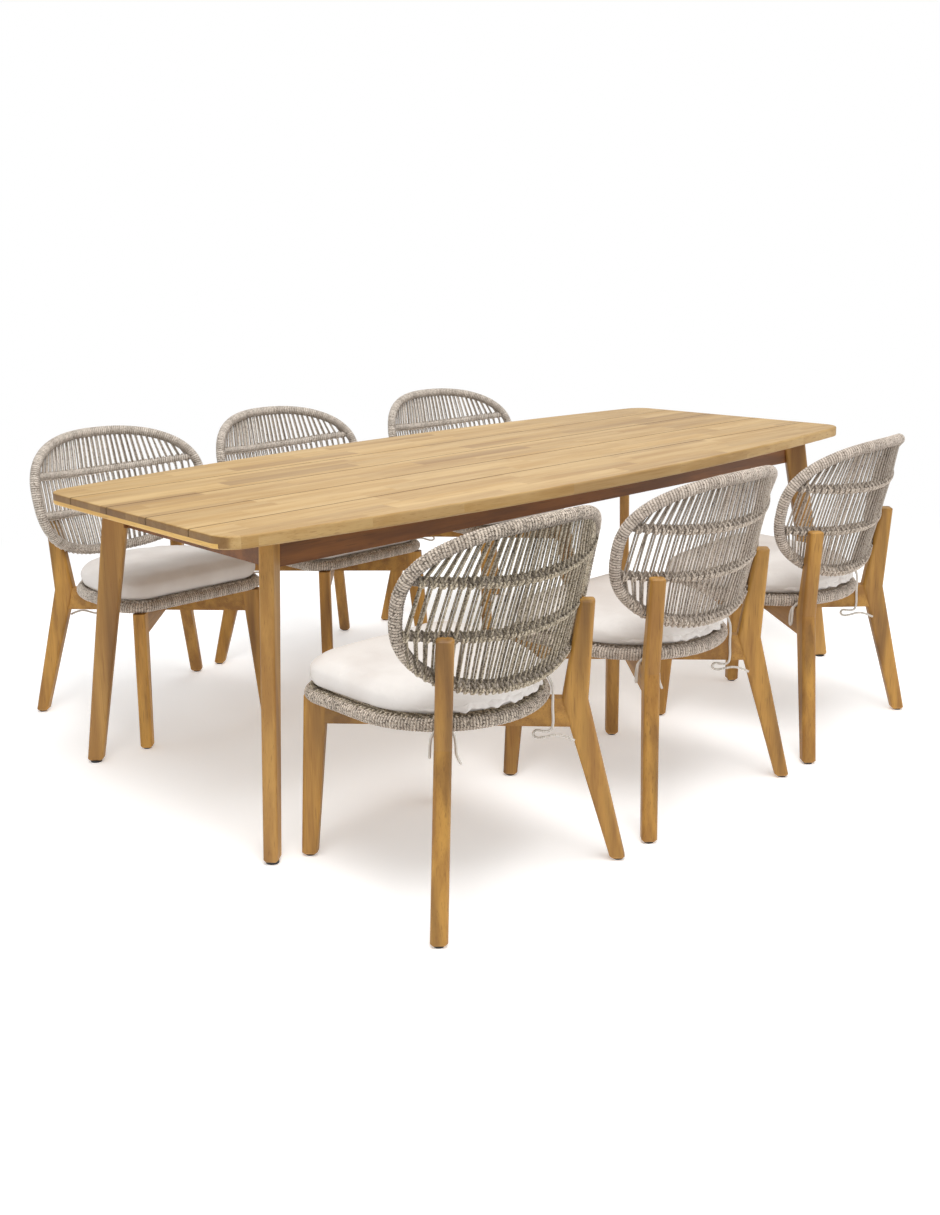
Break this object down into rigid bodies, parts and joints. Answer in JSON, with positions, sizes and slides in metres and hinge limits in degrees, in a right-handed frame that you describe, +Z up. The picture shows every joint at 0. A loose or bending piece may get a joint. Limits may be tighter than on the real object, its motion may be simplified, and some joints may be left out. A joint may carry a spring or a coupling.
{
  "type": "patio dining set",
  "caption": "Outdoor dining set: a plank-topped table with bowed sides on splayed legs, and chairs with curved rope backs, woven seats and tied seat cushions.",
  "frame": {"origin": "on the ground under the middle of the table top", "axes": "+Z up, +X along the table, +Y across it towards the far row of chairs"},
  "size_m": [2.31, 2.0311, 0.8268],
  "materials": {
    "top_wood": "oiled, satin",
    "batten_wood": "oiled, satin",
    "apron_wood": "oiled, matt",
    "leg_wood": "oiled, satin",
    "rope": "braided outdoor rope, beige grey",
    "cushion_cloth": "plain woven off-white cloth",
    "tie_cord": "thin round cotton cord",
    "fixings": "black"
  },
  "bodies": {
    "table": {"table_corner_blocks": "apron_wood", "table_end_battens": "batten_wood", "table_fixings": "fixings", "table_frame": "apron_wood", "table_legs": "leg_wood", "table_top_planks": "top_wood"},
    "chair_a": {"chair_a_back_frame": "rope", "chair_a_back_legs": "leg_wood", "chair_a_cross_rails": "leg_wood", "chair_a_cushion": "cushion_cloth", "chair_a_fixings": "fixings", "chair_a_front_legs": "leg_wood", "chair_a_rope_webs": "rope", "chair_a_seat_ring": "rope", "chair_a_ties": "tie_cord"},
    "chair_b": {"chair_b_back_frame": "rope", "chair_b_back_legs": "leg_wood", "chair_b_cross_rails": "leg_wood", "chair_b_cushion": "cushion_cloth", "chair_b_fixings": "fixings", "chair_b_front_legs": "leg_wood", "chair_b_rope_webs": "rope", "chair_b_seat_ring": "rope", "chair_b_ties": "tie_cord"},
    "chair_c": {"chair_c_back_frame": "rope", "chair_c_back_legs": "leg_wood", "chair_c_cross_rails": "leg_wood", "chair_c_cushion": "cushion_cloth", "chair_c_fixings": "fixings", "chair_c_front_legs": "leg_wood", "chair_c_rope_webs": "rope", "chair_c_seat_ring": "rope", "chair_c_ties": "tie_cord"},
    "chair_d": {"chair_d_back_frame": "rope", "chair_d_back_legs": "leg_wood", "chair_d_cross_rails": "leg_wood", "chair_d_cushion": "cushion_cloth", "chair_d_fixings": "fixings", "chair_d_front_legs": "leg_wood", "chair_d_rope_webs": "rope", "chair_d_seat_ring": "rope", "chair_d_ties": "tie_cord"},
    "chair_e": {"chair_e_back_frame": "rope", "chair_e_back_legs": "leg_wood", "chair_e_cross_rails": "leg_wood", "chair_e_cushion": "cushion_cloth", "chair_e_fixings": "fixings", "chair_e_front_legs": "leg_wood", "chair_e_rope_webs": "rope", "chair_e_seat_ring": "rope", "chair_e_ties": "tie_cord"},
    "chair_f": {"chair_f_back_frame": "rope", "chair_f_back_legs": "leg_wood", "chair_f_cross_rails": "leg_wood", "chair_f_cushion": "cushion_cloth", "chair_f_fixings": "fixings", "chair_f_front_legs": "leg_wood", "chair_f_rope_webs": "rope", "chair_f_seat_ring": "rope", "chair_f_ties": "tie_cord"}
  },
  "joints": [
    {"name": "chair_a_slide", "type": "slide", "parent": "table", "child": "chair_a", "axis": [-0.0201, 0.9998, 0], "range_m": [-0.45, 0.08]},
    {"name": "chair_b_slide", "type": "slide", "parent": "table", "child": "chair_b", "axis": [-0.0253, 0.9997, 0], "range_m": [-0.45, 0.3]},
    {"name": "chair_c_slide", "type": "slide", "parent": "table", "child": "chair_c", "axis": [-0.103, 0.9947, 0], "range_m": [-0.45, 0.3]},
    {"name": "chair_d_slide", "type": "slide", "parent": "table", "child": "chair_d", "axis": [0.0122, -0.9999, 0], "range_m": [-0.45, 0.32]},
    {"name": "chair_e_slide", "type": "slide", "parent": "table", "child": "chair_e", "axis": [0.0293, -0.9996, 0], "range_m": [-0.45, 0.34]},
    {"name": "chair_f_slide", "type": "slide", "parent": "table", "child": "chair_f", "axis": [-0.053, -0.9986, 0], "range_m": [-0.45, 0.33]}
  ]
}
